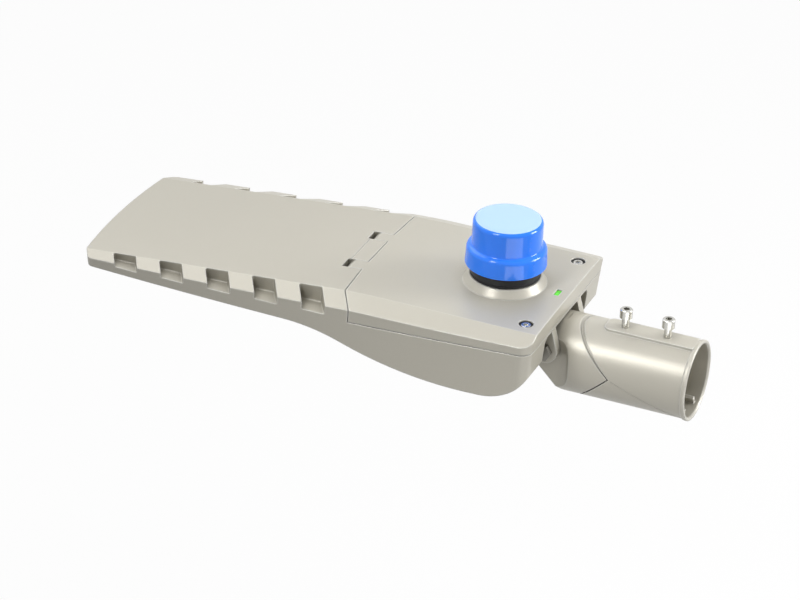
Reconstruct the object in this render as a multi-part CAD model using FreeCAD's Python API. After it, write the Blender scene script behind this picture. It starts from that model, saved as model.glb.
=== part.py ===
"""LED street light head: die-cast body, hinged gear cover, twist-lock photocell and tilting pole spigot.

The origin lies on the spigot's axis, at the outer end of the pole seat. +X points out of the spigot
to the pole, +Z is up and +Y is the far side. Lengths are in millimetres.
"""
import FreeCAD, Part
import math
import os
from FreeCAD import Vector

# Pole and spigot tube
pole_r = 30.15
pole_clearance = 0.6
seat_r = pole_r + pole_clearance
seat_length = 28.0
tube_outer_r = 40.5
tube_wall = 2.5
tube_mouth_x = 88.0
bead_height = 1.8
bead_length = 5.0
rib_angle = 25.0
rib_width = 4.0
rib_setback = 6.0
rib_relief = 0.4
pad_rise = 1.1
pad_half_width = 12.0
pad_length = 95.0

# Joint between knuckle and tube
joint_apex_x = 7.0
groove_top = 4.4
groove_apex = 1.6
groove_depth = 1.7
sleeve_clearance = 0.15
stop_wall = 5.0
cable_hole_r = 12.0

# Knuckle
pivot_x = -63.0
pivot_z = 16.5
knuckle_nose_r = 23.0
cheek_half_width = 30.0
cheek_fillet = 17.0
cheek_end_x = -52.0
pivot_bolt_r = 5.0
running_clearance = 0.08

# Head outline
rear_x = -54.0
head_length = 506.0
tip_x = rear_x - head_length
top_z = 62.5
half_width_rear = 109.0
half_width_mid = 113.2
half_width_tip = 105.5
mid_x = -264.0
tip_bow = 5.2
rear_corner_r = 13.0
tip_corner_r = 9.0
least_corner_r = 2.0
side_draft = 5.0
band_drop = 10.0
crown = 1.2
border_half_width = 90.5
band_angle_rear = 22.5
band_angle_tip = 13.5
bend_start_x = -220.0
bend_length = 57.0
top_slope = 4.6

# Underside
led_bottom_tip_z = 24.6
led_bottom_slope = 0.52
belly_start_x = -289.5
ramp_angle = 19.5
belly_z = -13.5
ramp_radius = 190.0
belly_radius = 400.0
heel_x = -108.0
rear_wall_bottom_z = 22.5

# Walls
casting_wall = 4.0
cover_wall = 3.0
seam_gap = 0.7

# Edge notches
notch_count = 5
notch_pitch = 52.46
notch_first_x = -522.0
notch_width = 25.5
edge_sweep = 0.6
notch_depth_first = 8.4
notch_depth_last = 17.2
notch_corner_r = 1.6

# Cover, hinge and parting line
seam_x = -263.5
seam_set_back = 2.6
parting_front_z = 37.5
parting_rear_z = 44.5
parting_front_x = -249.0
parting_rear_x = -64.0
finger_inner_y = 25.0
finger_width = 17.0
finger_reach = 19.5
finger_slot = 3.0
hinge_barrel_r = 8.2
hinge_pin_r = 3.0
hinge_pin_x = -275.0
block_gap = 0.4
block_depth = 16.0
lip_width = 2.0
gasket_width = 3.5
gasket_height = 2.0
cover_screw_x = -72.0
cover_screw_y = 74.0
cover_screw_r = 3.0
cover_screw_head_r = 5.0
screw_ring_r = 7.6
screw_recess = 2.2

# Photocell
photocell_x = -124.0
photocell_band_r = 42.0
photocell_body_r = 36.2
photocell_bottom_z = 21.4
photocell_shoulder_z = 42.4
photocell_top_z = 70.6
photocell_wall = 2.2
photocell_base_r = 36.3
collar_base_r = 42.8
collar_top_r = 37.2
collar_height = 8.6
socket_r = 30.0
socket_depth = 24.0

# Level vial
vial_x = -66.3
vial_length = 13.0
vial_width = 5.6
vial_depth = 3.0

# Light engine
glass_length = 216.0
glass_width = 172.0
glass_thickness = 4.0
glass_seal = 1.2
glass_fit = 0.4
glass_corner_r = 5.6
glass_start = 26.0
led_pocket_inset = 6.0
led_pocket_depth = 13.4
board_thickness = 1.6
lens_thickness = 2.0
dome_height = 3.2
dome_r = 6.2
lens_rows = 2
lens_columns = 2
domes_along = 6
domes_across = 3
chip_size = 3.5
chip_height = 0.7
clip_w = 1.2
clip_size = 13.0
clip_screw_out = 5.0
clip_places = (0.12, 0.5, 0.88)

# Control gear
driver_length = 118.0
driver_width = 60.0
driver_height = 34.0
driver_x0 = -206.0
driver_z0 = 2.0
driver_lug = 10.0
driver_lug_height = 2.5
driver_screw_dx = 18.0
bench_height = 3.0
surge_length = 46.0
surge_width = 30.0
surge_height = 26.0
surge_base = 3.0
surge_x, surge_y = -118.0, 80.0
surge_screw_dx = 17.0
terminal_poles = 5
terminal_pitch = 8.0
terminal_x, terminal_y = -119.0, -44.0
clamp_x, clamp_y = -124.0, 0.0
clamp_rise = 4.0
clamp_strap = 2.0
clamp_screw_dy = 14.0
earth_at = (-112.0, -78.0)
gland_thread_r = 8.0
gland_hex = 19.0
gland_nut = 4.5
gland_hole_r = 5.0
gland_y, gland_z = 0.0, 3.0
vent_thread_r = 4.0
vent_hex = 12.0
vent_y, vent_z = 48.0, 0.0
wire_hole_r = 3.0
wire_hole_z = 31.5

# Rear slot and its lugs
slot_room = 6.0
slot_lip = 0.7
slot_half_width = 61.0
slot_corner_r = 8.0
ear_thickness = 10.0
ear_r = 14.0
washer_thickness = 1.0
washer_r = 9.0

# Heat ribs above the light board
heat_ribs = 7
rib_thickness = 4.0
board_ledge = 8.0

# Smaller fits
inner_rim = 1.5
gasket_gap = 0.3
rim_height = 4.0
swing_clearance = 0.35
front_wall_x = -257.5
front_wall = 3.5
deck_z = 38.0
front_room_x = -312.0
channel_low_z = -14.0
channel_top_z = 8.0
socket_screw_circle_r = 33.2
collar_edge = 0.9
vial_recess = 1.6
ring_height = 2.6
screw_grip = 5.0
block_screw_shift = 6.3
block_screw_y = 14.0
base_gap = 0.3
photocell_gasket_height = 3.0
blade_r = 16.0
blade_sweep = 26.0
blade_depth = 12.0
blade_gap = 0.4
twist_angle = 30.0
socket_top = 6.0
socket_flange_r = 36.0
channel_half = 18.0
strip_z = 32.6
strip_overlap = 14.0
joint_screw_angles = (60.0, 120.0, -60.0, -120.0)
joint_screw_r = 2.0
joint_screw_pitch_r = 34.5
joint_boss_r = 3.6
joint_boss_length = 8.0
joint_head_r = 3.4

# Fasteners
clamp_screw_x = (7.7, 52.8)
clamp_screw_r = 4.0
clamp_head_r = 6.5
clamp_head_height = 9.5
clamp_free_height = 11.3
small_screw_r = 2.0
small_head_r = 3.6
small_head_height = 2.4

X = Vector(1, 0, 0)
Y = Vector(0, 1, 0)
Z = Vector(0, 0, 1)
far = 400.0
bore_r = tube_outer_r - tube_wall


def polyline(corners, place, close=True):
    """Wire through (a, b, radius) corners, each rounded by its radius, placed by place(a, b)."""
    n = len(corners)
    ends = []
    for i, (a, b, r) in enumerate(corners):
        here = Vector(a, b, 0)
        if r == 0 or (not close and i in (0, n - 1)):
            ends.append((here, None, here))
            continue
        before = Vector(*corners[i - 1][:2], 0) - here
        after = Vector(*corners[(i + 1) % n][:2], 0) - here
        before.normalize()
        after.normalize()
        half = before.getAngle(after) / 2
        reach = r / math.tan(half)
        axis = before + after
        axis.normalize()
        middle = here + axis * (r / math.sin(half) - r)
        ends.append((here + before * reach, middle, here + after * reach))
    put = lambda v: place(v.x, v.y)
    edges = []
    for i, (start, middle, end) in enumerate(ends):
        if middle is not None:
            edges.append(Part.Arc(put(start), put(middle), put(end)).toShape())
        if i < n - 1 or close:
            nxt = ends[(i + 1) % n][0]
            if end.distanceToPoint(nxt) > 1e-6:
                edges.append(Part.LineSegment(put(end), put(nxt)).toShape())
    return Part.Wire(edges)


def slab_xz(corners, y0, y1):
    """Solid with an outline in the XZ plane, from y0 to y1."""
    wire = polyline(corners, lambda a, b: Vector(a, y0, b))
    return Part.Face(wire).extrude(Y * (y1 - y0))


def slab_xy(corners, z0, z1):
    """Solid with an outline in the XY plane, from z0 to z1."""
    wire = polyline(corners, lambda a, b: Vector(a, b, z0))
    return Part.Face(wire).extrude(Z * (z1 - z0))


def slab_yz(corners, x0, x1):
    """Solid with an outline in the YZ plane, from x0 to x1."""
    wire = polyline(corners, lambda a, b: Vector(x0, a, b))
    return Part.Face(wire).extrude(X * (x1 - x0))


def box(x0, x1, y0, y1, z0, z1):
    return Part.makeBox(x1 - x0, y1 - y0, z1 - z0, Vector(x0, y0, z0))


def rod(r, length, base, direction):
    return Part.makeCylinder(r, length, base, direction)


def turned(profile, base, direction=Z):
    """Solid of revolution about a line through base; profile holds (radius, height, rounding)."""
    wire = polyline(profile, lambda a, b: Vector(a, 0, b))
    solid = Part.Face(wire).revolve(Vector(0, 0, 0), Z, 360)
    solid.Placement = FreeCAD.Placement(base, FreeCAD.Rotation(Z, direction))
    return solid


def hexagon(across, height, base, direction):
    r = across / math.sqrt(3)
    points = [(r * math.cos(math.radians(60 * k)), r * math.sin(math.radians(60 * k)), 0) for k in range(6)]
    solid = slab_xy(points, 0, height)
    solid.Placement = FreeCAD.Placement(base, FreeCAD.Rotation(Z, direction))
    return solid


def fused(shapes):
    shapes = list(shapes)
    body = shapes[0]
    if len(shapes) > 1:
        body = shapes[0].fuse(shapes[1:])
    return body.removeSplitter()


def save(name, shape):
    solids = shape.Solids
    shape = solids[0] if len(solids) == 1 else Part.Compound(solids)
    shape.exportStep("parts/" + name + ".step")
    print(f"{name:22s} solids {len(solids):3d}  volume {shape.Volume / 1000:8.2f} cm3  valid {shape.isValid()}")


# Shape of the whole head

bend_r = bend_length / math.sin(math.radians(top_slope))
slope_start_x = bend_start_x - bend_length
slope_start_drop = bend_r * (1 - math.cos(math.radians(top_slope)))


def top_height(x):
    """Height of the top surface's middle line."""
    if x >= bend_start_x:
        return top_z
    if x >= slope_start_x:
        return top_z - bend_r + math.sqrt(bend_r ** 2 - (bend_start_x - x) ** 2)
    return top_z - slope_start_drop - (slope_start_x - x) * math.tan(math.radians(top_slope))


def led_bottom(x):
    """Height of the light section's underside."""
    return led_bottom_tip_z - (x - tip_x) * math.tan(math.radians(led_bottom_slope))


def half_width(x):
    """Half the head's width at a place along it, from the three driving half widths."""
    s = (x - mid_x) / ((rear_x if x > mid_x else tip_x) - mid_x)
    end = half_width_rear if x > mid_x else half_width_tip
    return half_width_mid - (half_width_mid - end) * s ** 2


def top_section(x, z, angle, tilt=0.0, drop=0.0):
    """Cross-section under the crowned top and its two sloped bands, at right angles to the top line."""
    edge = half_width_mid + 6
    low = (edge - border_half_width) * math.tan(math.radians(angle))
    deep = 140.0
    c, s = math.cos(math.radians(tilt)), math.sin(math.radians(tilt))
    put = lambda y, d: Vector(x + d * s, y, z - drop * c - d * c)
    a, b = put(-border_half_width, crown), put(border_half_width, crown)
    right, left = put(edge, crown + low), put(-edge, crown + low)
    floor_right, floor_left = put(edge, deep), put(-edge, deep)
    arc = Part.Arc(a, put(0, 0), b).toShape()
    lines = [(b, right), (right, floor_right), (floor_right, floor_left), (floor_left, left), (left, a)]
    return Part.Wire([arc] + [Part.LineSegment(p, q).toShape() for p, q in lines])


def envelope(inset=0.0):
    """Everything below the top surface, lowered by inset."""
    flat = top_section(rear_x + 20, top_z, band_angle_rear, drop=inset)
    level = Part.Face(flat).extrude(X * (bend_start_x - rear_x - 20))
    start = Part.Face(top_section(bend_start_x, top_z, band_angle_rear, drop=inset))
    bend = start.revolve(Vector(bend_start_x, 0, top_z - bend_r), Y, -top_slope)
    end_x = tip_x - 20
    # The sloping part's sections stand upright, so they are made from the bend's end plane outwards.
    near = top_section(slope_start_x, top_height(slope_start_x), band_angle_rear, top_slope, inset)
    out = top_section(end_x, top_height(end_x), band_angle_tip, top_slope, inset)
    slope = Part.makeLoft([near, out], True, True)
    return fused([level, bend, slope])


def plan_wire(inset, z):
    """Outline of the head seen from above, with bowed sides and a bowed tip."""
    sweep = math.atan(edge_sweep)
    inner = Vector(tip_x + tip_bow + inset, border_half_width - math.tan(sweep / 2) * inset, z)
    outer_x = tip_x + tip_bow + edge_sweep * (half_width_tip - border_half_width)
    outer = Vector(outer_x + math.tan(math.pi / 4 - sweep / 2) * inset, half_width_tip - inset, z)
    rear = Vector(rear_x - inset, half_width_rear - inset, z)
    middle = Vector(mid_x, half_width_mid - inset, z)
    points = [rear, middle, outer, inner]
    mirror = [Vector(v.x, -v.y, v.z) for v in points]
    edges = [Part.Arc(rear, middle, outer).toShape(), Part.LineSegment(outer, inner).toShape(),
             Part.Arc(inner, Vector(tip_x + inset, 0, z), mirror[3]).toShape(),
             Part.LineSegment(mirror[3], mirror[2]).toShape(),
             Part.Arc(mirror[2], mirror[1], mirror[0]).toShape(), Part.LineSegment(mirror[0], rear).toShape()]
    return Part.Wire(edges)


def upright_edges(solid, side):
    """The tall corner edges on one side of the middle of the head."""
    tall = [e for e in solid.Edges if e.BoundBox.ZLength > 50]
    return [e for e in tall if (e.BoundBox.Center.x - mid_x) * side > 0]


def plan_prism(inset):
    """Drafted prism on the plan outline, true to size at the band's outer edge."""
    high, low = top_z + 20, belly_z - 10
    draft = math.tan(math.radians(side_draft))
    edge_z = top_z - band_drop
    wires = [plan_wire(inset + (edge_z - z) * draft, z) for z in (high, low)]
    solid = Part.makeLoft(wires, True, True)
    solid = solid.makeFillet(max(rear_corner_r - inset, least_corner_r), upright_edges(solid, 1))
    front = [e for e in upright_edges(solid, -1) if e.BoundBox.Center.x < tip_x + 40]
    return solid.makeFillet(max(tip_corner_r - inset, least_corner_r), front)


def belly_profile(inset, front_x, back_x):
    """Side outline of the underside, closed far above the top."""
    rise = rear_wall_bottom_z - belly_z
    heel_r = ((rear_x - heel_x) ** 2 + rise ** 2) / (2 * rise)
    start = Vector(heel_x, 0, belly_z + inset)
    centre = Vector(heel_x, 0, belly_z + heel_r)
    r = heel_r - inset
    turn = math.asin((rear_x - heel_x) / heel_r)
    end = centre + Vector(math.sin(turn) * r, 0, -math.cos(turn) * r)
    middle = centre + Vector(math.sin(turn / 2) * r, 0, -math.cos(turn / 2) * r)
    heel = Part.Arc(start, middle, end).toShape()
    corner_z = led_bottom(belly_start_x)
    ramp_run = (corner_z - belly_z) / math.tan(math.radians(ramp_angle))
    lower = [(front_x, led_bottom(front_x) + inset, 0),
             (belly_start_x, corner_z + inset, ramp_radius),
             (belly_start_x + ramp_run, belly_z + inset, belly_radius),
             (heel_x, belly_z + inset, 0)]
    path = polyline(lower, lambda a, b: Vector(a, 0, b), close=False)
    roof = top_z + 60
    frame = [Part.LineSegment(end, Vector(back_x, 0, end.z)).toShape()] if back_x > end.x + 1e-6 else []
    low_back = Vector(max(back_x, end.x), 0, end.z)
    frame += [Part.LineSegment(low_back, Vector(low_back.x, 0, roof)).toShape(),
              Part.LineSegment(Vector(low_back.x, 0, roof), Vector(front_x, 0, roof)).toShape(),
              Part.LineSegment(Vector(front_x, 0, roof), Vector(front_x, 0, led_bottom(front_x) + inset)).toShape()]
    return Part.Wire(path.Edges + [heel] + frame)


def side_prism(inset, front_x, back_x, half=150.0):
    face = Part.Face(belly_profile(inset, front_x, back_x))
    face.translate(Vector(0, -half, 0))
    return face.extrude(Y * 2 * half)


def parting_height(x):
    slope = (parting_rear_z - parting_front_z) / (parting_rear_x - parting_front_x)
    return parting_front_z + (x - parting_front_x) * slope


def above_parting(offset, x0, x1):
    """Block above the sloping parting line, shifted up by offset."""
    return slab_xz([(x0, parting_height(x0) + offset, 0), (x1, parting_height(x1) + offset, 0),
                    (x1, top_z + 60, 0), (x0, top_z + 60, 0)], -150, 150)


def seam_outline(gap):
    """Plan of the cover's side of the seam, grown forward by gap, with its two hinge fingers."""
    outer = 125.0
    border = seam_x - gap + seam_set_back
    swept = border + (outer - border_half_width) * edge_sweep
    a, b = finger_inner_y - gap, finger_inner_y + finger_width + gap
    reach = seam_x - finger_reach - (gap if gap == 0 else finger_slot)
    s = seam_x - gap
    near = [(far, -outer, 0), (swept, -outer, 0), (border, -border_half_width, 0), (s, -b, 0), (reach, -b, 0),
            (reach, -a, 0), (s, -a, 0)]
    return near + [(x, -y, r) for x, y, r in reversed(near)]


def barrel_and_arm(grow, arm_end):
    """Finger profile: a barrel round the hinge pin with an arm that runs back to the cover."""
    barrel = rod(hinge_barrel_r + grow, 300, Vector(hinge_pin_x, -150, hinge_pin_z), Y)
    arm = box(hinge_pin_x, arm_end, -150, 150, hinge_pin_z - grow, top_z + 10)
    return fused([barrel, arm])


def gear_plan(inset):
    """Drafted prism over the gear compartment, inset from the outside and from the swept seam."""
    outer = 125.0
    border = seam_x + seam_set_back + inset
    slant = inset * (math.hypot(1, edge_sweep) - 1)
    swept = border + slant + (outer - border_half_width) * edge_sweep
    finger_side = finger_inner_y + finger_width
    near = [(far, -outer, 0), (swept, -outer, 0), (border, -border_half_width, 0),
            (seam_x + inset, -finger_side, 0)]
    plan = slab_xy(near + [(x, -y, r) for x, y, r in reversed(near)], -60, 140)
    return plan_prism(inset).common(plan)


def cover_zone(gap):
    """Where the cover lies: behind the seam and above the parting line, grown by gap."""
    plan = slab_xy(seam_outline(gap), -50, 120)
    zone = plan.common(above_parting(-gap, seam_x - finger_reach - 10, rear_x + 10))
    return zone.common(box(seam_x - gap, rear_x + 10, -150, 150, -50, 120))


def finger_boxes(grow):
    """The two upright slices that hold the hinge fingers."""
    x0 = seam_x - finger_reach - (finger_slot if grow else 0)
    slices = []
    for side in (-1, 1):
        a, b = side * (finger_inner_y - grow), side * (finger_inner_y + finger_width + grow)
        slices.append(box(x0, seam_x + 20, min(a, b), max(a, b), 0, 120))
    return slices


def cap_screw(r, length, head_r, head_height, socket, base, up):
    """Socket-head screw; base is the middle of the head's seat and up points out of the head."""
    shank = rod(r, length, base - up * length, up)
    head_ = rod(head_r, head_height, base, up)
    rim = [e for e in head_.Edges if isinstance(e.Curve, Part.Circle)
           and (e.Curve.Center - base).dot(up) > head_height / 2]
    head_ = head_.makeChamfer(head_height * 0.08, rim)
    screw = fused([shank, head_])
    return screw.cut(hexagon(socket, head_height * 0.55, base + up * head_height, up * -1))


def arc_plate(r0, r1, start, sweep, z0, z1, centre):
    """Part of a ring about a vertical line, from an angle over a sweep in degrees."""
    outer = Part.makeCylinder(r1, z1 - z0, Vector(0, 0, z0), Z, sweep)
    plate = outer.cut(rod(r0, z1 - z0 + 2, Vector(0, 0, z0 - 1), Z))
    plate.rotate(Vector(0, 0, 0), Z, start)
    plate.translate(centre)
    return plate


# Whole head and what is cut from it

hinge_pin_z = top_height(hinge_pin_x) - hinge_barrel_r - 0.1
head = envelope().common(plan_prism(0)).common(side_prism(0, tip_x - 5, rear_x)).removeSplitter()

slot_front_x = pivot_x - knuckle_nose_r - slot_room
slot_top_z = tube_outer_r + slot_lip
ear_inner_y = cheek_half_width + washer_thickness
ear_outer_y = ear_inner_y + ear_thickness


def tilt_slot(grow):
    """Open slot in the rear of the head, in which the knuckle tilts."""
    half = slot_half_width + grow
    corners = [(-half, -80, 0), (-half, slot_top_z + grow, slot_corner_r + grow),
               (half, slot_top_z + grow, slot_corner_r + grow), (half, -80, 0)]
    return slab_yz(corners, slot_front_x - grow, rear_x + 30)


def ears():
    """Lugs of the head that carry the pivot bolt on both sides of the knuckle."""
    shapes = []
    for side in (-1, 1):
        y0, y1 = sorted((side * ear_inner_y, side * ear_outer_y))
        boss = rod(ear_r, y1 - y0, Vector(pivot_x, y0, pivot_z), Y)
        web = slab_xz([(slot_front_x - 1, slot_top_z + 1, 0), (rear_x - 2, slot_top_z + 1, 0),
                       (pivot_x + ear_r * 0.94, pivot_z + 5, 0), (pivot_x, pivot_z, 0),
                       (pivot_x - 3, pivot_z - ear_r * 0.97, 0), (slot_front_x - 1, -12, 0)], y0, y1)
        shapes.append(fused([boss, web]))
    return shapes


def notches():
    """Pockets along both long edges; their side walls sweep back towards the pole."""
    cutters = []
    reach = 32.0
    for i in range(notch_count):
        x = notch_first_x + i * notch_pitch
        depth = notch_depth_first + (notch_depth_last - notch_depth_first) * i / (notch_count - 1)
        floor_z = top_height(x + notch_width / 2) - crown - depth
        for side in (-1, 1):
            y0, y1 = side * border_half_width, side * (border_half_width + reach)
            shift = reach * edge_sweep
            corners = [(x, y0, notch_corner_r), (x + notch_width, y0, notch_corner_r),
                       (x + notch_width + shift, y1, 0), (x + shift, y1, 0)]
            cutter = slab_xy(corners, floor_z, top_z + 30)
            low = [e for e in cutter.Edges if e.BoundBox.ZMax < floor_z + 0.1]
            low = [e for e in low if abs(e.BoundBox.Center.y) < abs(y1) - 1]
            cutters.append(cutter.makeFillet(notch_corner_r * 0.8, low))
    return cutters


def on_underside(shape):
    """Moves a shape from the light section's own frame onto the sloping underside."""
    shape.rotate(Vector(0, 0, 0), Y, led_bottom_slope)
    shape.translate(Vector(tip_x, 0, led_bottom_tip_z))
    return shape


glass_end = glass_start + glass_length
seat_depth = glass_thickness + glass_seal
cavity_inset = lip_width + gasket_width + inner_rim
floor_top_z = belly_z + casting_wall


def rounded_block(x0, x1, half_y, z0, z1, r, y_mid=0.0):
    corners = [(x0, y_mid - half_y, r), (x1, y_mid - half_y, r), (x1, y_mid + half_y, r), (x0, y_mid + half_y, r)]
    return slab_xy(corners, z0, z1)


def inner_floor_z(x):
    """Height of the gear compartment's floor."""
    corner_z = led_bottom(belly_start_x)
    ramp = corner_z - (x - belly_start_x) * math.tan(math.radians(ramp_angle))
    return max(ramp, belly_z) + casting_wall


def pillar(x, y, r, top):
    """Round pillar that stands on the gear compartment's floor."""
    low = inner_floor_z(x) - casting_wall / 2
    return rod(r, top - low, Vector(x, y, low), Z)


driver_screw_y = driver_length / 2 - driver_lug / 2
driver_screws_at = [(driver_x0 + driver_width / 2 + dx, dy) for dx in (-driver_screw_dx, driver_screw_dx)
                    for dy in (-driver_screw_y, driver_screw_y)]
surge_screws_at = [(surge_x + d, surge_y) for d in (-surge_screw_dx, surge_screw_dx)]
clamp_screws_at = [(clamp_x, clamp_y + d) for d in (-clamp_screw_dy, clamp_screw_dy)]
bench_z = floor_top_z + bench_height
block_floor_z = top_height(hinge_pin_x) - block_depth
clips_at = [(glass_start + glass_length * t, s) for t in clip_places for s in (-1, 1)]
end_clips_at = [(glass_start, -1), (glass_end, 1)]


def led_housing():
    body = head.cut(cover_zone(seam_gap))
    cavity = gear_plan(cavity_inset).common(side_prism(casting_wall, tip_x - 5, rear_x))
    cavity = cavity.cut(tilt_slot(casting_wall - 0.5))
    front_room = side_prism(casting_wall, tip_x - 5, rear_x).common(plan_prism(cavity_inset))
    front_room = front_room.common(box(front_room_x, front_wall_x + 2, -150, 150, -60, deck_z))
    finger_floor = hinge_pin_z - hinge_barrel_r - 2
    fingers = [f.common(box(-far, far, -150, 150, finger_floor, 120)) for f in finger_boxes(block_gap)]
    block_pocket = box(seam_x - finger_reach - block_gap, seam_x + 20, -finger_inner_y, finger_inner_y,
                       block_floor_z, 120)
    groove = gear_plan(lip_width).cut(gear_plan(lip_width + gasket_width))
    groove = groove.common(above_parting(-gasket_height - gasket_gap, seam_x - 5, rear_x + 10))
    seat = on_underside(rounded_block(glass_start - glass_fit, glass_end + glass_fit, glass_width / 2 + glass_fit,
                                      -20, seat_depth, glass_corner_r + glass_fit))
    pocket = on_underside(rounded_block(glass_start + led_pocket_inset, glass_end - led_pocket_inset,
                                        glass_width / 2 - led_pocket_inset, -20, led_pocket_depth, 4))
    body = body.cut([cavity, front_room, groove, tilt_slot(0), block_pocket, seat, pocket] + fingers + notches())
    body = body.cut(heat_channels())
    body = body.cut(clip_plates(0.3, clip_w + 4))
    post_z = parting_height(cover_screw_x) - seam_gap
    bosses = [pillar(cover_screw_x, s * cover_screw_y, 7, post_z) for s in (-1, 1)]
    bosses += [box(cover_screw_x, rear_x - cavity_inset, s * cover_screw_y - 4, s * cover_screw_y + 4, -30, post_z)
               for s in (-1, 1)]
    bosses += [pillar(x, y, 5, driver_z0) for x, y in driver_screws_at]
    bosses += [pillar(x, y, 4.5, bench_z) for x, y in surge_screws_at]
    bosses += [pillar(terminal_x, terminal_y + d, 4, bench_z) for d in (-16, 16)]
    bosses += [pillar(x, y, 4.5, bench_z + clamp_rise) for x, y in clamp_screws_at]
    bosses.append(pillar(*earth_at, 5, bench_z))
    body = body.fuse([b.common(head) for b in bosses] + ears())
    pivot_start = Vector(pivot_x, -slot_half_width, pivot_z)
    holes = [rod(pivot_bolt_r + running_clearance, 2 * slot_half_width, pivot_start, Y),
             rod(gland_thread_r, 20, Vector(slot_front_x - 12, gland_y, gland_z), X),
             rod(vent_thread_r, 20, Vector(slot_front_x - 12, vent_y, vent_z), X),
             rod(wire_hole_r, 35, Vector(front_room_x - 30, 0, wire_hole_z), X)]
    for s in (-1, 1):
        top = Vector(cover_screw_x, s * cover_screw_y, parting_height(cover_screw_x) - seam_gap)
        lead = Part.makeCone(cover_screw_r + 0.1, cover_screw_r + 2.2, 6, top - Z * 6, Z)
        holes += [lead, rod(cover_screw_r + 0.1, 20, top - Z * 20, Z)]
        low = Vector(hinge_pin_x + block_screw_shift, s * block_screw_y, deck_z - 1)
        holes.append(rod(small_screw_r + 0.5, block_floor_z - deck_z + 2, low, Z))
    body = body.cut(holes)
    pegs = []
    for x, y in driver_screws_at:
        pegs.append(rod(small_screw_r, 6.5, Vector(x, y, driver_z0 - 6.5), Z))
    for x, y in surge_screws_at:
        pegs.append(rod(small_screw_r, 5, Vector(x, y, bench_z - 5), Z))
    for x, y in clamp_screws_at:
        pegs.append(rod(small_screw_r, 7, Vector(x, y, bench_z + clamp_rise - 7), Z))
    pegs.append(rod(small_screw_r, 5, Vector(*earth_at, bench_z - 5), Z))
    for u, w in clip_points():
        pegs.append(on_underside(rod(small_screw_r, 5, Vector(u, w, -1), Z)))
    return body.cut(pegs).removeSplitter()


def heat_channels():
    """Deep hollows between the ribs that carry heat from the light board up to the top skin."""
    inset = led_pocket_inset + board_ledge
    half = glass_width / 2 - inset
    step = (2 * half + rib_thickness) / (heat_ribs + 1)
    skin = envelope(casting_wall)
    channels = []
    for k in range(heat_ribs + 1):
        y0 = -half + k * step
        mid = y0 + (step - rib_thickness) / 2
        block = rounded_block(glass_start + inset, glass_end - inset, (step - rib_thickness) / 2,
                              led_pocket_depth - 1, 60, 4, mid)
        channels.append(on_underside(block).common(skin))
    return channels


def clip_points():
    """Screw places of the glass clips in the light section's own frame."""
    sides = [(u, s * (glass_width / 2 + clip_screw_out)) for u, s in clips_at]
    ends = [(u + s * clip_screw_out, 0.0) for u, s in end_clips_at]
    return sides + ends


def swing_relief():
    """Turned space about the hinge pin that lets the cover's front edge swing up past the housing."""
    finger_side = finger_inner_y + finger_width
    radii = []
    for y in (finger_side, border_half_width, border_half_width + 10, 125.0):
        on_band = max(y - border_half_width, 0)
        level = (min(y, border_half_width) - finger_side) / (border_half_width - finger_side)
        x = seam_x + seam_set_back * level + on_band * edge_sweep - seam_gap
        z = top_height(x) - crown * level - on_band * math.tan(math.radians(band_angle_rear))
        radii.append((y, math.hypot(x - hinge_pin_x, z - hinge_pin_z) + swing_clearance))
    half = [(r, y, 0) for y, r in radii]
    mirror = [(r, -y, 0) for r, y, _ in reversed(half)]
    profile = [(0, -125, 0)] + mirror + half + [(0, 125, 0)]
    return turned(profile, Vector(hinge_pin_x, 0, hinge_pin_z), Y)


def gear_cover():
    body = head.common(cover_zone(0)).cut(swing_relief())
    room = envelope(cover_wall).common(gear_plan(cover_wall)).common(box(front_wall_x, far, -150, 150, -50, 120))
    flange = gear_plan(cover_wall - 1).cut(gear_plan(lip_width + gasket_width))
    flange = flange.common(above_parting(0, seam_x, rear_x + 10))
    flange = flange.cut(above_parting(rim_height, seam_x - 5, rear_x + 20))
    under = envelope(cover_wall).common(box(seam_x - 30, front_wall_x - front_wall, -border_half_width + 2,
                                            border_half_width - 2, -50, 120))
    body = body.cut([room, under])
    arms = [head.common(barrel_and_arm(0, seam_x + 16)).common(f) for f in finger_boxes(0)]
    flange = flange.common(box(front_wall_x - front_wall, far, -150, 150, -50, 120))
    collar = turned([(0, -cover_wall, 0), (collar_base_r, -cover_wall, 0), (collar_base_r, collar_edge, 0.8),
                     (collar_top_r, collar_height, 0.8), (0, collar_height, 0)], Vector(photocell_x, 0, top_z))
    bosses = []
    for s in (-1, 1):
        low = parting_height(cover_screw_x)
        bosses.append(rod(screw_ring_r + 1.5, top_z - 1 - low, Vector(cover_screw_x, s * cover_screw_y, low), Z))
    well = rounded_block(vial_x - vial_width / 2 - 1.5, vial_x + vial_width / 2 + 1.5, vial_length / 2 + 1.5,
                         top_z - vial_recess - vial_depth - 1.5, top_z - 1, 1.0)
    body = body.fuse(arms + [flange, collar, well] + bosses)
    cuts = [rod(socket_r + 0.1, 80, Vector(photocell_x, 0, top_z - 40), Z),
            rod(hinge_pin_r + running_clearance, 300, Vector(hinge_pin_x, -150, hinge_pin_z), Y)]
    cuts.append(rounded_block(vial_x - vial_width / 2, vial_x + vial_width / 2, vial_length / 2,
                              top_z - vial_recess - vial_depth, top_z + 5, 0.6))
    cuts += [rod(small_screw_r * 0.75, 8, v - Z, Z) for v in socket_screw_points()]
    for s in (-1, 1):
        at = Vector(cover_screw_x, s * cover_screw_y, top_z - crown)
        cuts += [rod(screw_ring_r, 20, at - Z * (screw_recess + ring_height), Z),
                 rod(cover_screw_r + 0.2, 60, at - Z * 50, Z)]
    return body.cut(cuts).removeSplitter()


def cover_gasket():
    ring = gear_plan(lip_width).cut(gear_plan(lip_width + gasket_width))
    ring = ring.common(above_parting(-gasket_height - gasket_gap, seam_x - 5, rear_x + 20))
    return ring.cut(above_parting(-gasket_gap, seam_x - 5, rear_x + 20))


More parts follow.
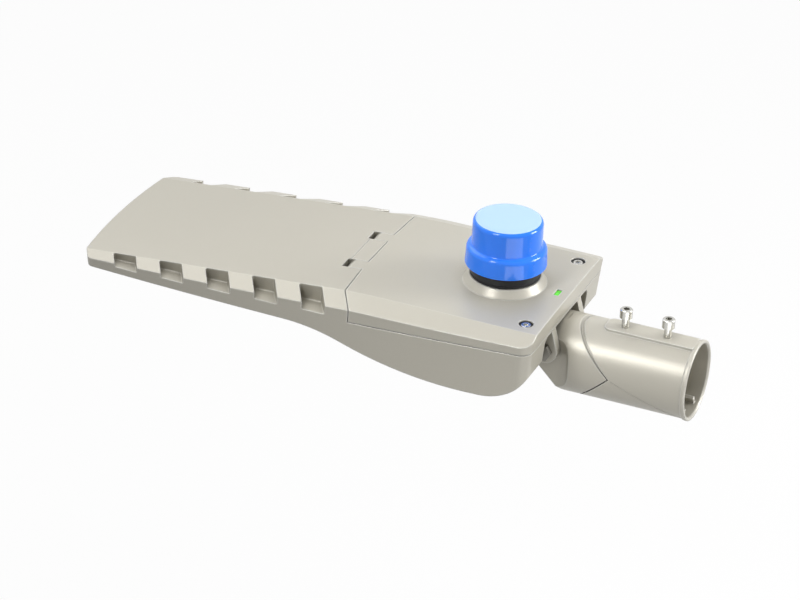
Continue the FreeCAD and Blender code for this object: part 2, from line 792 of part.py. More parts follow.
def hinge_block():
    block = head.common(box(seam_x - finger_reach, seam_x - seam_gap, -finger_inner_y + block_gap,
                            finger_inner_y - block_gap, block_floor_z, 120))
    holes = [rod(hinge_pin_r, 200, Vector(hinge_pin_x, -100, hinge_pin_z), Y)]
    for s in (-1, 1):
        foot = Vector(hinge_pin_x + block_screw_shift, s * block_screw_y, block_floor_z)
        holes.append(rod(small_screw_r + 0.5, 8, foot, Z))
    return block.cut(holes)


def hinge_pin():
    half = finger_inner_y + finger_width - 0.5
    return rod(hinge_pin_r, 2 * half, Vector(hinge_pin_x, -half, hinge_pin_z), Y)


def block_screws():
    screws = []
    for s in (-1, 1):
        base = Vector(hinge_pin_x + block_screw_shift, s * block_screw_y, deck_z)
        length = block_floor_z + 7.5 - deck_z
        screws.append(cap_screw(small_screw_r + 0.5, length, small_head_r + 0.9, 4.0, 4.0, base, Z * -1))
    return screws


# Fastening of the cover

def cover_screws():
    screws = []
    for s in (-1, 1):
        at = Vector(cover_screw_x, s * cover_screw_y, top_z - crown - screw_recess - ring_height)
        length = at.z - parting_height(cover_screw_x) + seam_gap + screw_grip
        screws.append(cap_screw(cover_screw_r, length, cover_screw_head_r, screw_recess + ring_height - 0.6, 5.0, at, Z))
    return screws


def screw_rings():
    rings = []
    for s in (-1, 1):
        at = Vector(cover_screw_x, s * cover_screw_y, top_z - crown - screw_recess - ring_height)
        ring = turned([(cover_screw_head_r + 0.1, 0, 0), (screw_ring_r, 0, 0), (screw_ring_r, ring_height + 1.4, 0.5),
                       (cover_screw_head_r + 0.1, ring_height + 1.4, 0.5)], at)
        rings.append(ring)
    return rings


def level_vial():
    return rounded_block(vial_x - vial_width / 2, vial_x + vial_width / 2, vial_length / 2,
                         top_z - vial_recess - vial_depth, top_z - vial_recess, 0.6)


# Photocell and its socket

def photocell_cap():
    band, body_r = photocell_band_r, photocell_body_r
    wall = photocell_wall
    profile = [(0, photocell_top_z, 0), (body_r - 0.3, photocell_top_z, 4.4), (body_r, photocell_shoulder_z, 2.0),
               (band - 1.0, photocell_shoulder_z - 1.6, 5.0), (band, photocell_bottom_z, 0.5),
               (band - wall, photocell_bottom_z, 0.5), (band - wall, photocell_shoulder_z - 4, 2.0),
               (body_r - wall, photocell_shoulder_z - 3.0, 1.0), (body_r - wall - 0.3, photocell_top_z - wall, 3.0),
               (0, photocell_top_z - wall, 0)]
    return turned(profile, Vector(photocell_x, 0, top_z))


def photocell_base():
    """Black base plate with its edge groove, and the three locking blades under it."""
    low = collar_height + base_gap + photocell_gasket_height
    rim = photocell_base_r
    inner = photocell_band_r - photocell_wall - 0.1
    profile = [(0, low, 0), (rim, low, 0.6), (rim, photocell_bottom_z + 1.0, 0.5), (inner, photocell_bottom_z + 1.0, 0.4),
               (inner, photocell_bottom_z + 4.0, 0.4), (0, photocell_bottom_z + 4.0, 0)]
    base = turned(profile, Vector(photocell_x, 0, top_z))
    blades = [arc_plate(blade_r - 0.7, blade_r + 0.7, 120 * k, blade_sweep, top_z - blade_depth, top_z + low + 1,
                        Vector(photocell_x, 0, 0)) for k in range(3)]
    return fused([base] + blades)


def photocell_gasket():
    low = collar_height + base_gap
    rim = photocell_base_r
    profile = [(blade_r + 5, low, 0), (rim, low, 0.5), (rim, low + photocell_gasket_height, 0.5),
               (blade_r + 5, low + photocell_gasket_height, 0)]
    return turned(profile, Vector(photocell_x, 0, top_z))


def photocell_socket():
    profile = [(0, -socket_depth, 0), (socket_r - 4, -socket_depth, 1.5), (socket_r - 4, -cover_wall - 8, 0),
               (socket_r, -cover_wall - 8, 0), (socket_r, socket_top, 0.8), (0, socket_top, 0)]
    body = turned(profile, Vector(photocell_x, 0, top_z))
    flange = turned([(socket_r - 1, -cover_wall - 3, 0), (socket_flange_r, -cover_wall - 3, 0.6),
                     (socket_flange_r, -cover_wall, 0.6), (socket_r - 1, -cover_wall, 0)],
                    Vector(photocell_x, 0, top_z))
    body = fused([body, flange]).cut([rod(small_screw_r * 0.75 + 0.2, 20, v - Z * 9, Z) for v in socket_screw_points()])
    slots = [arc_plate(blade_r - 0.7 - blade_gap, blade_r + 0.7 + blade_gap, 120 * k - 2,
                       blade_sweep + twist_angle + 4, top_z - blade_depth - 1, top_z + 20,
                       Vector(photocell_x, 0, 0)) for k in range(3)]
    return body.cut(slots)


def socket_screw_points():
    """Places of the three screws that hold the socket's flange up against the cover."""
    turns = [math.radians(60 + 120 * k) for k in range(3)]
    return [Vector(photocell_x + socket_screw_circle_r * math.cos(t), socket_screw_circle_r * math.sin(t),
                   top_z - cover_wall) for t in turns]


def socket_screws():
    return [cap_screw(small_screw_r * 0.75, 9, small_head_r * 0.8, 1.8, 2.0, v - Z * 3, Z * -1)
            for v in socket_screw_points()]


def socket_contacts():
    """Spring contacts beside the slots' ends, inside the socket."""
    return [arc_plate(blade_r - 0.7 - blade_gap, blade_r + 0.7 + blade_gap, 120 * k - 2, blade_sweep + twist_angle + 4,
                      top_z - blade_depth - 1, top_z - blade_depth - 0.4, Vector(photocell_x, 0, 0)) for k in range(3)]


# Light engine under the head

def lens_glass():
    return on_underside(rounded_block(glass_start, glass_end, glass_width / 2, 0, glass_thickness, glass_corner_r))


def glass_gasket():
    ring = rounded_block(glass_start, glass_end, glass_width / 2, glass_thickness, seat_depth, glass_corner_r)
    hole = rounded_block(glass_start + led_pocket_inset, glass_end - led_pocket_inset,
                         glass_width / 2 - led_pocket_inset, 0, 20, 4)
    return on_underside(ring.cut(hole))


def clip_plates(grow, thickness):
    """Small plates that reach from their screws over the glass edge, grown sideways by grow."""
    plates = []
    for (u, y), along in zip(clip_points(), [True] * len(clips_at) + [False] * len(end_clips_at)):
        a, b = clip_size / 2 + grow, clip_screw_out + 3.5 + grow
        half_u, half_y = (a, b) if along else (b, a)
        plates.append(on_underside(rounded_block(u - half_u, u + half_u, half_y, -thickness, 0, 2.0, y)))
    return plates


def glass_clips():
    holes = [on_underside(rod(small_screw_r + 0.1, 5, Vector(u, y, -3), Z)) for u, y in clip_points()]
    return [plate.cut(holes) for plate in clip_plates(0, clip_w)]


def clip_screws():
    screws = []
    for u, y in clip_points():
        screw = cap_screw(small_screw_r, 5.0, small_head_r, small_head_height, 2.5, Vector(u, y, -clip_w), Z * -1)
        screws.append(on_underside(screw))
    return screws


board_u0 = glass_start + led_pocket_inset + 3
board_u1 = glass_end - led_pocket_inset - 3
board_half = glass_width / 2 - led_pocket_inset - 3
board_w0 = led_pocket_depth - board_thickness


def led_board():
    return on_underside(rounded_block(board_u0, board_u1, board_half, board_w0, led_pocket_depth, 3))


def emitter_points():
    """Middle of each light emitter, in four groups of three by six."""
    points = []
    step_u = (board_u1 - board_u0) / (lens_columns * domes_along)
    step_y = 2 * board_half / (lens_rows * domes_across)
    for i in range(lens_columns * domes_along):
        for j in range(lens_rows * domes_across):
            points.append((board_u0 + step_u * (i + 0.5), -board_half + step_y * (j + 0.5)))
    return points


def led_chips():
    half = chip_size / 2
    return [on_underside(box(u - half, u + half, y - half, y + half, board_w0 - chip_height, board_w0))
            for u, y in emitter_points()]


def lens_array():
    """Four moulded lens plates, each with a field of raised domes over the emitters."""
    plates = []
    top = board_w0 - chip_height - 0.2
    low = top - lens_thickness
    gap = 1.5
    mid_u = (board_u0 + board_u1) / 2
    bulge_r = (dome_r ** 2 + dome_height ** 2) / (2 * dome_height)
    for u0, u1 in ((board_u0 + gap, mid_u - gap), (mid_u + gap, board_u1 - gap)):
        for y0, y1 in ((-board_half + gap, -gap), (gap, board_half - gap)):
            plate = rounded_block(u0, u1, (y1 - y0) / 2, low, top, 3, (y0 + y1) / 2)
            rim = rounded_block(u0, u1, (y1 - y0) / 2, top, board_w0, 3, (y0 + y1) / 2)
            rim = rim.cut(rounded_block(u0 + 2, u1 - 2, (y1 - y0) / 2 - 2, low, board_w0 + 1, 2, (y0 + y1) / 2))
            domes = []
            for u, y in emitter_points():
                if u0 < u < u1 and y0 < y < y1:
                    ball = Part.makeSphere(bulge_r, Vector(u, y, low - dome_height + bulge_r))
                    domes.append(ball.common(box(u - 9, u + 9, y - 9, y + 9, low - dome_height - 1, low + 0.5)))
            plates.append(on_underside(plate.fuse([rim] + domes).removeSplitter()))
    return plates


# Control gear in the compartment

def driver():
    half = driver_length / 2 - driver_lug
    x1 = driver_x0 + driver_width
    case = rounded_block(driver_x0, x1, half, driver_z0, driver_z0 + driver_height, 3)
    case = case.makeFillet(1.5, [e for e in case.Edges if e.BoundBox.ZMin > driver_z0 + driver_height - 0.1])
    lug = rounded_block(driver_x0 + 4, x1 - 4, driver_length / 2, driver_z0, driver_z0 + driver_lug_height, 4)
    holes = [rod(small_screw_r + 0.3, 10, Vector(x, y, driver_z0 - 2), Z) for x, y in driver_screws_at]
    ports = [rod(3.2, 6, Vector(x1 - 5, y, driver_z0 + 14), X) for y in (-36, -26, 26, 36)]
    return fused([case, lug]).cut(holes + ports)


def screws_at(points, seat_z, length):
    return [cap_screw(small_screw_r, length, small_head_r, small_head_height, 2.5, Vector(x, y, seat_z), Z)
            for x, y in points]


def surge_protector():
    x0, x1 = surge_x - surge_length / 2, surge_x + surge_length / 2
    base = rounded_block(x0, x1, surge_width / 2, bench_z, bench_z + surge_base, 4, surge_y)
    case = rounded_block(surge_x - 12, surge_x + 12, surge_width / 2, bench_z, bench_z + surge_height, 3, surge_y)
    holes = [rod(small_screw_r + 0.3, 9, Vector(x, y, bench_z - 2), Z) for x, y in surge_screws_at]
    leads = [rod(2.0, 6, Vector(surge_x + 11, surge_y + d, bench_z + 10), X) for d in (-6, 0, 6)]
    return fused([base, case] + leads).cut(holes)


def terminal_block():
    half = terminal_poles * terminal_pitch / 2
    y0 = terminal_y - half
    body = slab_xz([(terminal_x - 11, bench_z, 1), (terminal_x + 11, bench_z, 1), (terminal_x + 11, bench_z + 9, 1),
                    (terminal_x + 5, bench_z + 17, 1), (terminal_x - 5, bench_z + 17, 1),
                    (terminal_x - 11, bench_z + 9, 1)], y0, y0 + 2 * half)
    cuts = []
    for k in range(terminal_poles):
        y = y0 + terminal_pitch * (k + 0.5)
        cuts.append(rod(2.2, 30, Vector(terminal_x - 15, y, bench_z + 5), X))
        cuts.append(rod(2.4, 8, Vector(terminal_x, y, bench_z + 11), Z))
        cuts.append(box(terminal_x - 20, terminal_x + 20, y + terminal_pitch / 2 - 0.4, y + terminal_pitch / 2 + 0.4,
                        bench_z + 12, bench_z + 30))
    return body.cut(cuts)


def cable_clamp():
    """Bent strap that holds the mains cable down behind the gland."""
    z, t = bench_z + clamp_rise, clamp_strap
    half = [(-20, z, 0), (-8, z, 0), (-8, z + 4, 3), (8, z + 4, 3), (8, z, 0), (20, z, 0), (20, z + t, 1),
            (8 + t, z + t, 1), (8 + t, z + 4 + t, 4), (-8 - t, z + 4 + t, 4), (-8 - t, z + t, 1), (-20, z + t, 1)]
    strap = slab_yz([(clamp_y + y, h, r) for y, h, r in half], clamp_x - 5, clamp_x + 5)
    holes = [rod(small_screw_r + 0.3, 12, Vector(x, y, z - 4), Z) for x, y in clamp_screws_at]
    return strap.cut(holes)


def gland(r, across, nut, inside, y, z, hole):
    """Threaded stem through the slot's front wall with a hexagon on each side."""
    outer = Vector(slot_front_x, y, z)
    inner = outer - X * (casting_wall - 0.5)
    lock = inner - X * 5
    pieces = [rod(r - 0.02, casting_wall + 3.5, inner - X * 2, X), hexagon(across, nut, outer, X),
              hexagon(across, 5, lock, X)]
    if inside:
        dome = [(0, 0, 0), (across / 2 - 0.5, 0, 0), (across / 2 - 0.5, 8, 3), (r - 1, inside, 1), (0, inside, 0)]
        pieces.append(turned(dome, lock, X * -1))
    body = fused(pieces)
    return body.cut(rod(hole, 60, inner - X * 30, X)) if hole else body


# Knuckle and spigot tube

def split_prism(top_gap, apex_gap, low_gap):
    """Everything on the knuckle's side of the two 45 degree joint faces, less the given gaps."""
    r = tube_outer_r + 20
    grow = r / tube_outer_r
    top_x = joint_apex_x - r - apex_gap - (top_gap - apex_gap) * grow
    low_x = joint_apex_x - r - apex_gap - (low_gap - apex_gap) * grow
    return slab_xz([(joint_apex_x - apex_gap, 0, 0), (top_x, r, 0), (-200, r, 0), (-200, -r, 0), (low_x, -r, 0)],
                   -80, 80)


def spigot_knuckle():
    r = tube_outer_r
    nose = knuckle_nose_r
    shell = rod(r, 200, Vector(-150, 0, 0), X).common(split_prism(groove_top, groove_apex, groove_apex * 1.3))
    core = rod(r - groove_depth, 200, Vector(-150, 0, 0), X).common(split_prism(0, 0, 0))
    body = shell.fuse(core)
    sq = math.sqrt(0.5)
    slope_x = pivot_x - nose * sq
    slope_z = pivot_z - nose * sq
    run = slope_z + r + 2
    side = slab_xz([(40, r + 2, 0), (pivot_x + nose * 0.8, r + 2, 0), (pivot_x + nose * 0.5, pivot_z + nose, 0),
                    (pivot_x, pivot_z + nose, 0), (pivot_x, pivot_z, 0), (slope_x, slope_z, 0),
                    (slope_x + run, slope_z - run, 30), (40, slope_z - run, 0)], -80, 80)
    side = side.fuse(rod(nose, 160, Vector(pivot_x, -80, pivot_z), Y))
    corner = cheek_half_width + cheek_fillet
    plan = box(-200, cheek_end_x, -cheek_half_width, cheek_half_width, -100, 100)
    flare = box(cheek_end_x, 60, -corner, corner, -100, 100)
    for s in (-1, 1):
        flare = flare.cut(rod(cheek_fillet, 200, Vector(cheek_end_x, s * corner, -100), Z))
    body = body.common(side).common(plan.fuse(flare))
    sleeve = rod(bore_r - sleeve_clearance, 30, Vector(-30, 0, 0), X)
    body = body.fuse(sleeve)
    channel = slab_yz([(-channel_half, channel_low_z, 6), (channel_half, channel_low_z, 6),
                       (channel_half, channel_top_z, 6), (-channel_half, channel_top_z, 6)],
                      -120, -seat_length - stop_wall)
    cuts = [rod(seat_r, seat_length + 1, Vector(-seat_length, 0, 0), X), channel,
            rod(bore_r, 40, Vector(0, 0, 0), X),
            rod(cable_hole_r, 40, Vector(-seat_length - stop_wall - 5, 0, 0), X),
            rod(pivot_bolt_r + running_clearance, 160, Vector(pivot_x, -80, pivot_z), Y)]
    for a in joint_screw_angles:
        cuts.append(rod(joint_screw_r, 16, radial(a, joint_screw_pitch_r, -16), X))
    return body.cut(cuts).removeSplitter()


def radial(angle, r, x):
    """Point at an angle from the tube's top, turning to the far side."""
    return Vector(x, r * math.sin(math.radians(angle)), r * math.cos(math.radians(angle)))


def spigot_tube():
    r = tube_outer_r
    start_x = joint_apex_x - r - 5
    length = tube_mouth_x - start_x
    shell = rod(r, length, Vector(start_x, 0, 0), X)
    bead = turned([(0, -bead_length, 0), (r + bead_height - 0.6, -bead_length, 0.8), (r + bead_height, 0, 1.4),
                   (0, 0, 0)], Vector(tube_mouth_x, 0, 0), X)
    pad_x0 = tube_mouth_x - bead_length - pad_length
    top = r + pad_rise
    pad_x1 = tube_mouth_x - bead_length + 0.6
    pad = slab_xy([(pad_x0, -pad_half_width, pad_half_width * 0.6), (pad_x1, -pad_half_width, 0),
                   (pad_x1, pad_half_width, 0), (pad_x0, pad_half_width, pad_half_width * 0.6)], r - 6, top)
    body = shell.fuse([bead, pad])
    body = body.cut([rod(bore_r, length + 20, Vector(start_x - 10, 0, 0), X), split_prism(0, 0, 0)])
    mouth = [(0, -1.6, 0), (bore_r, -1.6, 0), (bore_r + 1.6, 0.2, 0), (0, 0.2, 0)]
    body = body.cut(turned(mouth, Vector(tube_mouth_x, 0, 0), X))
    full = rod(bore_r + 0.5, tube_mouth_x - rib_setback, Vector(0, 0, 0), X)
    free = rod(seat_r + rib_relief, 200, Vector(-50, 0, 0), X)
    ribs = []
    for s in (-1, 1):
        rib = box(0, tube_mouth_x - rib_setback, -rib_width / 2, rib_width / 2, -bore_r - 3, 0)
        rib.rotate(Vector(0, 0, 0), X, s * rib_angle)
        ribs.append(rib.common(full).cut(free))
    strip = box(0, clamp_screw_x[1] + strip_overlap, -9, 9, 20, bore_r).common(full)
    strip = strip.cut(box(-1, 200, -20, 20, 0, strip_z))
    for a in joint_screw_angles:
        boss = rod(joint_boss_r, joint_boss_length, radial(a, joint_screw_pitch_r, 0), X)
        ribs.append(boss.common(full).cut(free))
    body = body.fuse(ribs + [strip])
    holes = [rod(clamp_screw_r + 0.06, 30, Vector(x, 0, 25), Z) for x in clamp_screw_x]
    holes += [rod(joint_screw_r + 0.2, 30, radial(a, joint_screw_pitch_r, -5), X) for a in joint_screw_angles]
    return body.cut(holes).removeSplitter()


def joint_screws():
    seats = [radial(a, joint_screw_pitch_r, joint_boss_length) for a in joint_screw_angles]
    return [cap_screw(joint_screw_r, joint_boss_length + 14, joint_head_r, 3.0, 2.5, seat, X) for seat in seats]


def clamp_screw(x):
    """Pole clamp screw with a thin-rimmed socket head, drawn back as far as its flat end clears the bore."""
    top = tube_outer_r + pad_rise
    seat = Vector(x, 0, top + clamp_free_height)
    length = top + clamp_free_height - strip_z - 0.5
    return cap_screw(clamp_screw_r, length, clamp_head_r, clamp_head_height, 6.0, seat, Z)


def pivot_bolt():
    head_ = hexagon(16, 6.4, Vector(pivot_x, -ear_outer_y, pivot_z), Y * -1)
    return fused([head_, rod(pivot_bolt_r, 2 * ear_outer_y + 11, Vector(pivot_x, -ear_outer_y, pivot_z), Y)])


def pivot_nut():
    return hexagon(16, 8, Vector(pivot_x, ear_outer_y, pivot_z), Y).cut(
        rod(pivot_bolt_r, 30, Vector(pivot_x, ear_outer_y - 5, pivot_z), Y))


def pivot_washers():
    washers = []
    for s in (-1, 1):
        low = min(s * (cheek_half_width + 0.08), s * (ear_inner_y - 0.08))
        ring = rod(washer_r, washer_thickness - 0.16, Vector(pivot_x, low, pivot_z), Y)
        washers.append(ring.cut(rod(pivot_bolt_r + running_clearance, 200, Vector(pivot_x, -100, pivot_z), Y)))
    return washers


os.makedirs("parts", exist_ok=True)
nodes = {
    "led_housing": led_housing(),
    "gear_cover": gear_cover(),
    "cover_gasket": cover_gasket(),
    "hinge_block": hinge_block(),
    "hinge_pin": hinge_pin(),
    "hinge_block_screws": block_screws(),
    "cover_screws": cover_screws(),
    "cover_screw_rings": screw_rings(),
    "level_vial": level_vial(),
    "photocell_cap": photocell_cap(),
    "photocell_base": photocell_base(),
    "photocell_gasket": photocell_gasket(),
    "photocell_socket": photocell_socket(),
    "socket_contacts": socket_contacts(),
    "socket_screws": socket_screws(),
    "lens_glass": lens_glass(),
    "glass_gasket": glass_gasket(),
    "glass_clips": glass_clips(),
    "glass_clip_screws": clip_screws(),
    "led_board": led_board(),
    "led_chips": led_chips(),
    "lens_array": lens_array(),
    "driver": driver(),
    "driver_screws": screws_at(driver_screws_at, driver_z0 + driver_lug_height, 8),
    "surge_protector": surge_protector(),
    "surge_protector_screws": screws_at(surge_screws_at, bench_z + surge_base, 7),
    "terminal_block": terminal_block(),
    "cable_clamp": cable_clamp(),
    "cable_clamp_screws": screws_at(clamp_screws_at, bench_z + clamp_rise + clamp_strap, 8),
    "earth_screw": screws_at([earth_at], bench_z, 4),
    "cable_gland": gland(gland_thread_r, gland_hex, gland_nut, 16, gland_y, gland_z, gland_hole_r),
    "vent_plug": gland(vent_thread_r, vent_hex, 4.0, 0, vent_y, vent_z, 0),
    "spigot_knuckle": spigot_knuckle(),
    "spigot_tube": spigot_tube(),
    "joint_screws": joint_screws(),
    "clamp_screw_inner": clamp_screw(clamp_screw_x[0]),
    "clamp_screw_outer": clamp_screw(clamp_screw_x[1]),
    "pivot_bolt": pivot_bolt(),
    "pivot_nut": pivot_nut(),
    "pivot_washers": pivot_washers(),
}
for node, shape in nodes.items():
    save(node, Part.Compound(shape) if isinstance(shape, list) else shape)
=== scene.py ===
"""LED street light head: looks of the die-cast head, its gear cover, photocell and pole spigot."""
import math

import bpy
from mathutils import Matrix, Vector


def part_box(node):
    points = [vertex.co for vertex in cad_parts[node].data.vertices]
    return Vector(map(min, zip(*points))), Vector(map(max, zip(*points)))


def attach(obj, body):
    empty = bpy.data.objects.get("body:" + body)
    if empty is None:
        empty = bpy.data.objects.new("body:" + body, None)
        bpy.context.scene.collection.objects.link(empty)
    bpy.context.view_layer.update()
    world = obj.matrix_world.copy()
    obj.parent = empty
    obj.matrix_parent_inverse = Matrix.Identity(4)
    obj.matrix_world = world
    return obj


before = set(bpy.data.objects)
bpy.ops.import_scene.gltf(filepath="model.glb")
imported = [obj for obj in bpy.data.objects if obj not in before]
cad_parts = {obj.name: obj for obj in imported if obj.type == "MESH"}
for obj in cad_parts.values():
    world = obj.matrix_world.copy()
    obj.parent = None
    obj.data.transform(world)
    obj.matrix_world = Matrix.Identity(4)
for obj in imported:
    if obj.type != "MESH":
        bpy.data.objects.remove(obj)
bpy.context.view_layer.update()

scene = bpy.context.scene

# Camera at the photograph's viewing angle. It stands nearly four metres away, on the near side of the
# head and above it, with the picture rolled slightly. Where it stands follows from the place in the
# picture of the photocell's foot, the point on the cover at the middle of its collar.
picture_width, picture_height = 800, 600
focal_px = 3719.32
azimuth = math.radians(21.65)
elevation = math.radians(28.76)
roll = math.radians(2.69)
camera_distance = 3.77559
sensor_width_mm = 36.0
farthest_seen = 50
photocell_foot_px = Vector((504.79, 279.97))
photocell_foot = Vector((-0.124, 0, 0.0625))

back = Vector((math.sin(azimuth) * math.cos(elevation),
               -math.cos(azimuth) * math.cos(elevation),
               math.sin(elevation)))
level_right = (-back).cross(Vector((0, 0, 1))).normalized()
level_up = back.cross(level_right)
right = level_right * math.cos(roll) + level_up * math.sin(roll)
up = level_up * math.cos(roll) - level_right * math.sin(roll)
metres_per_px = camera_distance / focal_px
across = (photocell_foot_px.x - picture_width / 2) * metres_per_px
down = (photocell_foot_px.y - picture_height / 2) * metres_per_px

camera_data = bpy.data.cameras.new("photo_camera")
camera_data.sensor_width = sensor_width_mm
camera_data.lens = focal_px * sensor_width_mm / picture_width
camera_data.clip_end = farthest_seen
camera = bpy.data.objects.new("photo_camera", camera_data)
camera.location = photocell_foot + back * camera_distance - right * across + up * down
camera.rotation_euler = Matrix((right, up, back)).transposed().to_euler()
scene.collection.objects.link(camera)
scene.camera = camera


# Studio world: white all round to the camera, in reflections and through glass. The light that it gives
# to the head comes from above only, at a plain level, and fades to nothing at the horizon.
class Wire:
    """A node's output. Arithmetic between wires and numbers adds Math nodes."""

    def __init__(self, socket):
        self.socket = socket
        self.tree = socket.id_data

    def work_out(self, operation, *values):
        return add(self.tree, "ShaderNodeMath", {"operation": operation}, dict(enumerate(values)))

    def __add__(self, other):
        return self.work_out("ADD", self, other)

    def __rsub__(self, other):
        return self.work_out("SUBTRACT", other, self)

    def __mul__(self, other):
        return self.work_out("MULTIPLY", self, other)

    def __gt__(self, other):
        return self.work_out("GREATER_THAN", self, other)

    __radd__ = __add__
    __rmul__ = __mul__


def add(tree, kind, settings, sockets, output=0):
    """New node with its settings first and then its sockets' values or links; gives one output."""
    node = tree.nodes.new(kind)
    for name, setting in settings.items():
        setattr(node, name, setting)
    for name, given in sockets.items():
        if isinstance(given, Wire):
            tree.links.new(given.socket, node.inputs[name])
        else:
            node.inputs[name].default_value = given
    return Wire(node.outputs[output])


def larger(first, second):
    return first.work_out("MAXIMUM", first, second)


def smaller(first, second):
    return first.work_out("MINIMUM", first, second)


def white_to_the_eye(tree):
    """One for the rays that show the background, direct, mirrored or through glass; nought for light."""
    seen, mirrored, through = [add(tree, "ShaderNodeLightPath", {}, {}, ray)
                               for ray in ("Is Camera Ray", "Is Glossy Ray", "Is Transmission Ray")]
    return larger(larger(seen, mirrored), through)


white = (1.0, 1.0, 1.0, 1.0)
zenith_light = 1.08
scene.view_settings.view_transform = "Standard"
world = bpy.data.worlds.new("studio_world")
world.use_nodes = True
scene.world = world
tree = world.node_tree
direction = add(tree, "ShaderNodeTexCoord", {}, {}, "Generated")
sky = larger(add(tree, "ShaderNodeSeparateXYZ", {}, {"Vector": direction}, "Z"), 0.0)
shown = white_to_the_eye(tree)
strength = shown + (1 - shown) * (sky * sky * zenith_light)
background = tree.nodes["Background"]
background.inputs["Color"].default_value = white
tree.links.new(strength.socket, background.inputs["Strength"])

# Pale floor under the hanging head: a flat painted sheet, as white as the world where it is seen, with a
# faint shadow of the head left in it. It sends little light back up, and from below it is see-through.
floor_z = -0.42
floor_half = 6.0
floor_roughness = 0.9
floor_tone_lit, floor_tone_seen = 0.12, 0.85
shadow_share = 0.07
floor_mesh = bpy.data.meshes.new("floor")
corners = [(x, y, floor_z) for x, y in ((-floor_half, -floor_half), (floor_half, -floor_half),
                                        (floor_half, floor_half), (-floor_half, floor_half))]
floor_mesh.from_pydata(corners, [], [(0, 1, 2, 3)])
floor = bpy.data.objects.new("floor", floor_mesh)
scene.collection.objects.link(floor)
floor_paint = bpy.data.materials.new("pale_floor")
floor_paint.use_nodes = True
floor_mesh.materials.append(floor_paint)
tree = floor_paint.node_tree
shader = tree.nodes["Principled BSDF"]
shader.inputs["Roughness"].default_value = floor_roughness
shown = white_to_the_eye(tree)
paint = shown * (floor_tone_seen - floor_tone_lit) + floor_tone_lit
tree.links.new(paint.socket, shader.inputs["Base Color"])
glow = add(tree, "ShaderNodeEmission", {}, {"Color": white, "Strength": 1.0})
painted = Wire(shader.outputs["BSDF"])
from_above = add(tree, "ShaderNodeMixShader", {}, {0: shown * (1 - shadow_share), 1: painted, 2: glow})
underside = add(tree, "ShaderNodeNewGeometry", {}, {}, "Backfacing")
clear = add(tree, "ShaderNodeBsdfTransparent", {}, {})
sheet = add(tree, "ShaderNodeMixShader", {}, {0: underside, 1: from_above, 2: clear})
tree.links.new(sheet.socket, tree.nodes["Material Output"].inputs["Surface"])


# Soft lamps: four diffusing panels that the camera doesn't see. One lights the tip from above, one the
# rear, one draws the highlight along the spigot, and a weak one lifts the shadow under the near side.
def soft_lamp(name, place, aim, size, power, spread=180):
    """Rectangular panel at a place, turned to face another; power in watts, spread in degrees."""
    panel = bpy.data.lights.new(name, "AREA")
    panel.shape = "RECTANGLE"
    panel.size, panel.size_y = size
    panel.energy = power
    panel.spread = math.radians(spread)
    lamp = bpy.data.objects.new(name, panel)
    lamp.location = place
    lamp.rotation_euler = (Vector(aim) - Vector(place)).to_track_quat("-Z", "Y").to_euler()
    lamp.visible_camera = False
    scene.collection.objects.link(lamp)


tip_aim = (-0.52, 0, 0.03)
middle_aim = (-0.25, 0, 0.03)
photocell_aim = (-0.124, 0, 0.11)
spigot_aim = (0.04, 0, 0.02)
soft_lamp("overhead_left_lamp", (-1.2, 0.3, 1.15), tip_aim, size=(1.3, 1.0), power=5.9)
soft_lamp("rear_lamp", (1.7, 0.8, 0.75), middle_aim, size=(0.8, 1.0), power=32)
soft_lamp("near_lamp", (-0.6, -1.2, 1.36), spigot_aim, size=(0.36, 1.6), power=1.35, spread=35)
soft_lamp("low_lamp", (0.44, -0.57, -0.3), photocell_aim, size=(0.8, 0.25), power=1.2)


# Castings: head, gear cover, hinge block, knuckle and spigot tube, die cast in aluminium and powder
# coated a warm light grey. The coat is satin, with a fine metallic flake and a faint orange peel. Its
# edges are painted paler as a highlight, and its corners and crevices painted darker as shade.
def colour(red, green, blue):
    """Linear colour of an eight-bit screen colour."""
    steps = [c / 255 for c in (red, green, blue)]
    return tuple(c / 12.92 if c <= 0.04045 else ((c + 0.055) / 1.055) ** 2.4 for c in steps)


def lighter(tone, times):
    return tuple(c * times for c in tone)


def blend_colours(factor, first, second):
    """Colour between two colours or wires by a factor."""
    first, second = [end if isinstance(end, Wire) else (*end, 1.0) for end in (first, second)]
    factor_in, first_in, second_in, colour_out = 0, 6, 7, 2
    return add(factor.tree, "ShaderNodeMix", {"data_type": "RGBA"},
               {factor_in: factor, first_in: first, second_in: second}, colour_out)


def material(name, constants):
    """New material with the shader's constant values; gives the material, its tree and its shader."""
    made = bpy.data.materials.new(name)
    made.use_nodes = True
    shader = made.node_tree.nodes["Principled BSDF"]
    for socket, value in constants.items():
        shader.inputs[socket].default_value = value
    return made, made.node_tree, shader


def feed(shader, name, wire):
    """Links what varies over a surface to a socket of its shader."""
    wire.tree.links.new(wire.socket, shader.inputs[name])


def noise(tree, per_metre, detail=2.0):
    """Noise over the piece's own coordinates, in metres."""
    place = add(tree, "ShaderNodeTexCoord", {}, {}, "Object")
    sockets = {"Vector": place, "Scale": per_metre, "Detail": detail}
    return add(tree, "ShaderNodeTexNoise", {}, sockets, "Fac")


def bumped(height, distance, strength, normal=None):
    """Normal from a height field, on top of another normal where one is given."""
    sockets = {"Height": height, "Distance": distance, "Strength": strength}
    if normal:
        sockets["Normal"] = normal
    return add(height.tree, "ShaderNodeBump", {}, sockets)


def dress(finish, *nodes):
    """Puts a material on the frame's own pieces."""
    for node in nodes:
        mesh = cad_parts[node].data
        mesh.materials.clear()
        mesh.materials.append(finish)


